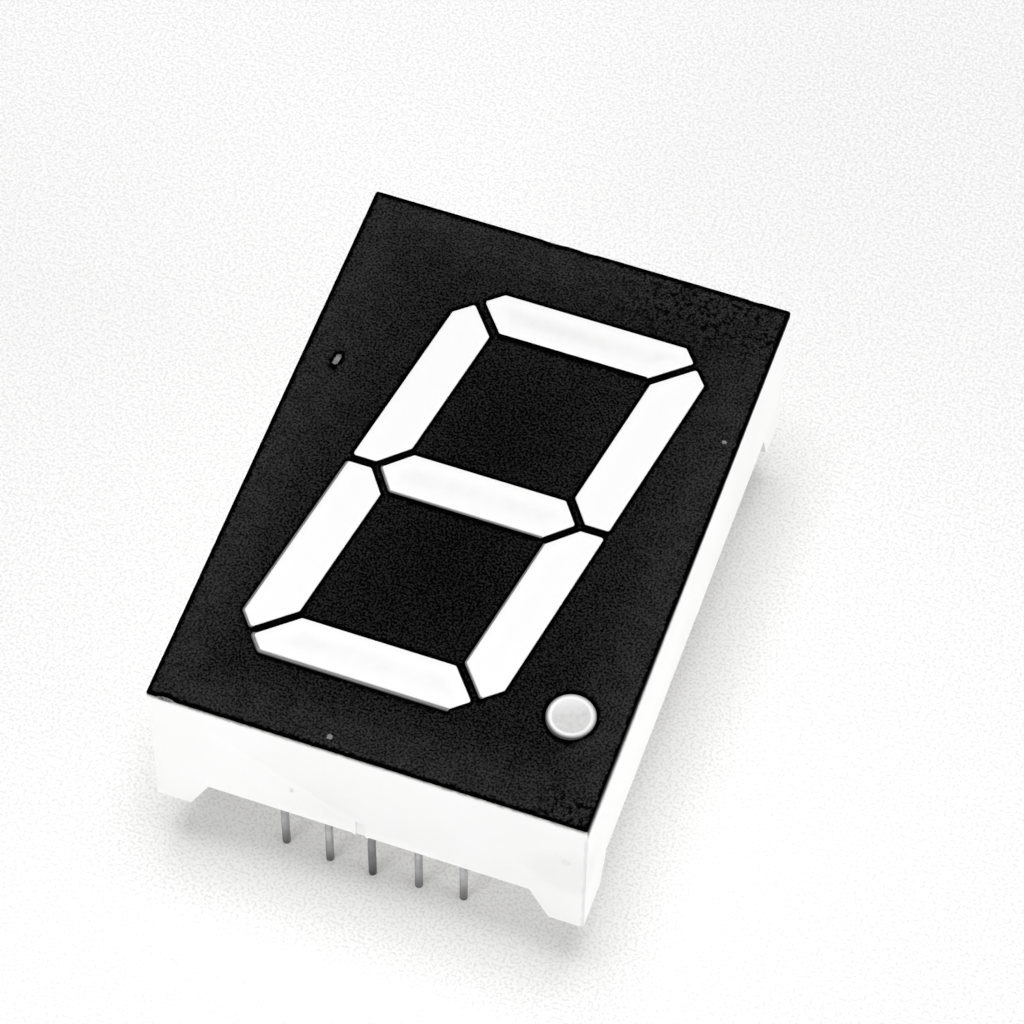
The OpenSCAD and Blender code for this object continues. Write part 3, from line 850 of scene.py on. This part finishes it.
def decimal_point():
    """A cast round light with a rounded rim, drawn in at the middle."""
    box_low, box_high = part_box("decimal_point")
    centre = (box_low + box_high) / 2
    radius = (box_high.x - box_low.x) / 2
    base = outlines("decimal_point", box_low.z)[0]
    base_radius = max((p - centre.xy).length for p in base)
    steps = 8
    profile = [(0.0, box_low.z), (base_radius, box_low.z), (radius, ink_z), (radius, bar_top_z - RIM)]
    profile += [(radius - RIM * (1 - math.cos(a)), bar_top_z - RIM * (1 - math.sin(a)))
                for a in (math.pi / 2 * k / 4 for k in range(1, 5))]
    inner = radius - RIM
    for k in range(1, steps + 1):
        r = inner * (1 - k / steps)
        profile.append((r, bar_top_z - 1.6 * DISH * (1 - (r / inner) ** 4)))
    mesh = bmesh.new()
    around_axis(mesh, profile, centre, ROUND_SIDES)
    # facing_low steers the painted shade on the dot's lower-left rim.
    piece("decimal_point_light", mesh, "dot_resin", ["decimal_point"],
          edge_loops=[circle(centre.xy, radius, ROUND_SIDES)],
          facing_low=lambda facing, _: facing.dot(LOWER_LEFT))


def around_axis(mesh, profile, centre, count):
    """Turns a profile of (radius, height) pairs round an upright axis, on which it starts and ends."""
    rings = []
    for r, z in profile:
        steps = range(count if r > 1e-9 else 1)
        rings.append([mesh.verts.new((centre.x + r * math.cos(2 * math.pi * k / count),
                                      centre.y + r * math.sin(2 * math.pi * k / count), z)) for k in steps])
    for a, b in zip(rings, rings[1:]):
        for k in range(count):
            j = (k + 1) % count
            corners = [a[k % len(a)], a[j % len(a)], b[j % len(b)], b[k % len(b)]]
            corners = list(dict.fromkeys(corners))
            if len(corners) > 2:
                mesh.faces.new(corners)


# ---------- housing ----------

EDGE_ROUND = 0.03 * MM
SHARP = math.radians(28)
PLATE_DEPTH = 4 * MM  # edges that lie deeper than this, and above the resin, stay sharp


def moulded_housing():
    """The CAD housing with its sharp outer edges slightly rounded, as a mould leaves them."""
    mesh = merged("reflector_housing")
    bmesh.ops.dissolve_limit(mesh, angle_limit=math.radians(0.5), verts=mesh.verts, edges=mesh.edges)
    resin_high = high("back_resin")
    reach_x, reach_y = resin_high.x - FLAT, resin_high.y - FLAT

    def on_shell(v):
        return abs(v.co.x) > reach_x or abs(v.co.y) > reach_y

    def between(v):
        return v.co.z > resin_z and abs(v.co.z - ink_z) > PLATE_DEPTH

    sharp = [e for e in mesh.edges if len(e.link_faces) == 2 and e.calc_face_angle(0) > SHARP
             and all(on_shell(v) for v in e.verts) and not all(between(v) for v in e.verts)]
    bmesh.ops.bevel(mesh, geom=sharp, offset=EDGE_ROUND, segments=3, profile=0.5,
                    affect="EDGES", clamp_overlap=True)
    bmesh.ops.triangulate(mesh, faces=[f for f in mesh.faces if len(f.verts) > 4])
    piece("moulded_housing", mesh, "white_moulding", ["reflector_housing"], smooth_below=35.0)


# ---------- potting resin on the back ----------

CLIMB = 0.22 * MM  # how far the resin creeps up the walls and the pins
WALL_FADE, PIN_FADE = 0.28 * MM, 0.2 * MM  # the distances over which it comes down again
SWELL = 0.04 * MM
RESIN_STEP = 0.35 * MM
RESIN_GRID = 0.5 * MM
RESIN_ROWS = (0.08 * MM, 0.18 * MM, 0.32 * MM)
COLLARS = (-0.02 * MM, 0.06 * MM, 0.14 * MM, 0.26 * MM, 0.42 * MM)  # rings of points, beyond a pin's radius


def potting():
    """The resin's outer surface faces down, so it is made upside down and then turned over."""
    box_low, box_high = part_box("back_resin")
    (x0, y0), (x1, y1) = box_low.xy, box_high.xy
    wall = divided([Vector(corner) for corner in ((x0, y0), (x1, y0), (x1, y1), (x0, y1))], RESIN_STEP)
    pins = [middle_of(pin).xy for pin in PINS]
    radius = (high("pin_1").x - low("pin_1").x) / 2

    def height(p, away):
        creep = math.exp(-away / WALL_FADE)
        for at in pins:
            creep += 0.8 * math.exp(-max(0.0, (p - at).length - radius) / PIN_FADE)
        swell = SWELL * noise.noise((p.x / MM * 0.35, p.y / MM * 0.35, 1.0))
        return box_low.z - CLIMB * min(1.0, creep) + swell

    mesh = bmesh.new()
    upper = ring_of(mesh, wall, box_high.z)
    edge = [mesh.verts.new((p.x, p.y, height(p, 0.0))) for p in wall]
    walled(mesh, upper, edge)
    extra = [tuple(p) for at in pins for reach in COLLARS for p in circle(at, radius + reach, 16)]
    skin(mesh, [wall], [edge], RESIN_GRID, RESIN_ROWS, height, extra)
    skin(mesh, [wall], [upper], 1 * MM, (), lambda p, d: box_high.z)
    piece("potting_back", mesh, "potting_resin", ["back_resin"], edge_loops=[wall])


# ---------- pins ----------

PIN_BRIGHTNESS = (0.46, 0.53, 0.27, 0.53, 0.53, 0.45, 0.5, 0.38, 0.47, 0.5)  # of each pin's tin, pin_1 first
PIN_LEAN = (-0.44 * MM, 0.12 * MM, 0.0)  # handling has bent the rows this far aside, on average
PIN_SCATTER = (0.09 * MM, 0.16 * MM, 0.0)
BENT_ABOVE = 3.2 * MM  # the pins bend between this height over the floor and the resin
TIP_ROUND = 0.1 * MM
LEAN_SEED = 1363


def pin_tree():
    """Geometry nodes: a round pin with a rounded tip and a square shank at each point, bent a little."""
    tree = bpy.data.node_groups.new("pin_row", "GeometryNodeTree")
    face = tree.interface
    face.new_socket("Geometry", in_out="INPUT", socket_type="NodeSocketGeometry")
    for label, kind in (("Radius", "Float"), ("Tip rounding", "Float"), ("Round length", "Float"),
                        ("Shank side", "Float"), ("Full length", "Float"), ("Bent above", "Float"),
                        ("Least lean", "Vector"), ("Most lean", "Vector"), ("Seed", "Int"),
                        ("Finish", "Material")):
        face.new_socket(label, in_out="INPUT", socket_type="NodeSocket" + kind)
    face.new_socket("Geometry", in_out="OUTPUT", socket_type="NodeSocketGeometry")
    n = Nodes(tree)
    given = tree.nodes.new("NodeGroupInput").outputs
    radius, tip, length = given["Radius"], given["Tip rounding"], given["Round length"]

    def up(z):
        return n.add("ShaderNodeCombineXYZ", {"Z": z})

    line = n.add("GeometryNodeCurvePrimitiveLine", {"Start": (0.0, 0.0, 0.0), "End": up(length)})
    line = n.add("GeometryNodeResampleCurve", {"Curve": line, "Count": 40})
    share = n.add("GeometryNodeSplineParameter")
    crowded = n.times(n.math("POWER", share, 3.0), length)
    line = n.add("GeometryNodeSetPosition", {"Geometry": line, "Position": up(crowded)})
    height = n.add("ShaderNodeSeparateXYZ", {"Vector": n.add("GeometryNodeInputPosition")}, 2)
    short = n.math("MAXIMUM", n.minus(tip, height), 0.0)
    bulge = n.math("SQRT", n.minus(n.times(tip, tip), n.times(short, short)))
    profile = n.plus(n.minus(radius, tip), bulge)
    line = n.add("GeometryNodeSetCurveRadius", {"Curve": line, "Radius": profile})
    circle = n.add("GeometryNodeCurvePrimitiveCircle", {"Resolution": 32, "Radius": 1.0})
    stem = n.add("GeometryNodeCurveToMesh", {"Curve": line, "Profile Curve": circle, "Fill Caps": True,
                                             "Scale": n.add("GeometryNodeInputRadius")})
    shank_length = n.minus(given["Full length"], length)
    side = given["Shank side"]
    size = n.add("ShaderNodeCombineXYZ", {"X": side, "Y": side, "Z": shank_length})
    shank = n.add("GeometryNodeMeshCube", {"Size": size})
    middle = n.plus(length, n.times(shank_length, 0.5))
    shank = n.add("GeometryNodeTransform", {"Geometry": shank, "Translation": up(middle)})
    join = tree.nodes.new("GeometryNodeJoinGeometry")
    tree.links.new(shank, join.inputs[0])
    tree.links.new(stem, join.inputs[0])

    lean = n.add("FunctionNodeRandomValue", {
        0: given["Least lean"], 1: given["Most lean"], "Seed": given["Seed"]}, data_type="FLOAT_VECTOR")
    points = n.add("GeometryNodeStoreNamedAttribute", {
        "Geometry": given["Geometry"], "Name": "lean", "Value": lean},
        data_type="FLOAT_VECTOR", domain="POINT")
    pins = n.add("GeometryNodeInstanceOnPoints", {"Points": points, "Instance": join.outputs[0]})
    pins = n.add("GeometryNodeRealizeInstances", {"Geometry": pins})
    here = n.add("ShaderNodeSeparateXYZ", {"Vector": n.add("GeometryNodeInputPosition")}, 2)
    hanging = n.spread(n.minus(here, floor_z), given["Bent above"], length, 1.0, 0.0)
    kept_lean = n.add("GeometryNodeInputNamedAttribute", {"Name": "lean"}, data_type="FLOAT_VECTOR")
    offset = n.add("ShaderNodeVectorMath", {0: kept_lean, "Scale": hanging}, operation="SCALE")
    pins = n.add("GeometryNodeSetPosition", {"Geometry": pins, "Offset": offset})
    pins = n.add("GeometryNodeSetMaterial", {"Geometry": pins, "Material": given["Finish"]})
    result = tree.nodes.new("NodeGroupOutput")
    tree.links.new(pins, result.inputs[0])
    return tree


def contact_pins():
    base = bpy.data.meshes.new("pin_places")
    centres = [middle_of(pin) for pin in PINS]
    base.from_pydata([(c.x, c.y, floor_z) for c in centres], [], [])
    store(base, "brightness", PIN_BRIGHTNESS)
    seed = placed("pin_places", base)
    modifier = seed.modifiers.new("pin_row", "NODES")
    modifier.node_group = pin_tree()
    shank = outlines("pin_1", high("pin_1").z)[0]
    mean, scatter = Vector(PIN_LEAN), Vector(PIN_SCATTER)
    sizes = {
        "Radius": (high("pin_1").x - low("pin_1").x) / 2,
        "Tip rounding": TIP_ROUND,
        "Round length": resin_z - floor_z,
        "Shank side": max(p.x for p in shank) - min(p.x for p in shank),
        "Full length": high("pin_1").z - floor_z,
        "Least lean": tuple(mean - scatter),
        "Most lean": tuple(mean + scatter),
        "Bent above": BENT_ABOVE,
        "Seed": LEAN_SEED,
        "Finish": FINISH["tinned_pin"],
    }
    for item in modifier.node_group.interface.items_tree:
        if item.in_out == "INPUT" and item.name in sizes:
            modifier[item.identifier] = sizes[item.name]
    bpy.context.view_layer.update()
    shape = seed.evaluated_get(bpy.context.evaluated_depsgraph_get())
    data = bpy.data.meshes.new_from_object(shape)
    bpy.data.objects.remove(seed)
    mesh = bmesh.new()
    mesh.from_mesh(data)
    piece("contact_pins", mesh, "tinned_pin", PINS)


# ---------- what stays as the CAD made it ----------

CARRIED = {
    "circuit_board": "board_laminate", "copper_tracks": "copper", "led_dies": "die_crystal",
    "bond_wires": "gold_wire", "solder_joints": "solder",
}


def carried_nodes():
    for node, slot in CARRIED.items():
        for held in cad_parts[node].material_slots:
            held.material = FINISH[slot]


# ---------- stage ----------

FLOOR_HALF = 1.5
FLOOR_GLOW = 0.08  # the same all over the floor, so the shadow is only what the lamps cast
SKY = 0.3  # how strongly the sky lights things, where 1 is what the camera sees of it


def floor():
    data = bpy.data.meshes.new("floor")
    corners = [(-1, -1), (1, -1), (1, 1), (-1, 1)]
    data.from_pydata([(FLOOR_HALF * x, FLOOR_HALF * y, floor_z) for x, y in corners], [], [(0, 1, 2, 3)])
    made = placed("floor", data)
    material = bpy.data.materials.new("pale_floor")
    material.use_nodes = True
    tree = material.node_tree
    tree.nodes.clear()
    n = Nodes(tree)
    grain = n.spread(n.noise(n.place(), 6000.0, 1.0), 0.3, 0.7, 0.78, 1.0)
    paper = n.add("ShaderNodeBsdfDiffuse", {"Color": n.grey(grain)})
    glow = n.add("ShaderNodeEmission", {"Color": (1.0, 1.0, 1.0), "Strength": n.times(n.seen(), FLOOR_GLOW)})
    total = n.add("ShaderNodeAddShader", {0: paper, 1: glow})
    out = tree.nodes.new("ShaderNodeOutputMaterial")
    tree.links.new(total, out.inputs["Surface"])
    data.materials.append(material)


def sky():
    world = bpy.data.worlds.new("studio")
    bpy.context.scene.world = world
    world.use_nodes = True
    tree = world.node_tree
    tree.nodes.clear()
    n = Nodes(tree)
    strength = n.spread(n.seen(), 0.0, 1.0, SKY, 1.0)
    light = n.add("ShaderNodeBackground", {"Color": (1.0, 1.0, 1.0), "Strength": strength})
    out = tree.nodes.new("ShaderNodeOutputWorld")
    tree.links.new(light, out.inputs["Surface"])


# Each lamp's name, direction from the face, distance, size and level (lengths in metres).
LAMPS = [
    ("top_softbox", (0.0, 0.01, 1.0), 0.5, 0.25, 0.61),
    ("right_softbox", (1.0, -0.1, 0.21), 0.5, 0.25, 0.44),
    ("front_softbox", (-0.45, -1.0, 0.23), 0.2, 0.1, 0.36),
]


def softbox(name, direction, distance, size, level):
    """A square lamp that lights a face turned to it at the given level, where 1 shows white as white."""
    light = bpy.data.lights.new(name, "AREA")
    light.size = size
    light.energy = level * math.pi * math.pi * distance ** 2
    lamp = placed(name, light)
    lamp.visible_camera = False
    towards = Vector(direction).normalized()
    turn = towards.to_track_quat("Z", "Y").to_matrix().to_4x4()
    lamp.matrix_world = Matrix.Translation(face_centre + towards * distance) @ turn


CAMERA_AT = Vector((41.53, -117.922, 195.821)) * MM  # from the middle of the face
# Degrees: how far the camera is turned round the upright, tipped up from looking straight down, and
# rolled about its own line of sight.
HEADING, TILT, ROLL = 18.558, 32.367, 1.063
SENSOR, LENS = 36.0, 154.77  # millimetres


def camera():
    data = bpy.data.cameras.new("camera")
    data.sensor_width, data.lens = SENSOR, LENS
    data.clip_start = 0.01
    made = placed("camera", data)
    turns = [Matrix.Rotation(math.radians(angle), 4, axis)
             for angle, axis in ((HEADING, "Z"), (TILT, "X"), (ROLL, "Z"))]
    made.matrix_world = Matrix.Translation(face_centre + CAMERA_AT) @ turns[0] @ turns[1] @ turns[2]
    bpy.context.scene.camera = made


# ---------- make it all ----------

camera()
sky()
floor()
for lamp in LAMPS:
    softbox(*lamp)
bpy.context.scene.view_settings.view_transform = "Standard"

moulded_housing()
printed_face()
for bar in BARS:
    light_bar(bar)
decimal_point()
potting()
contact_pins()
carried_nodes()
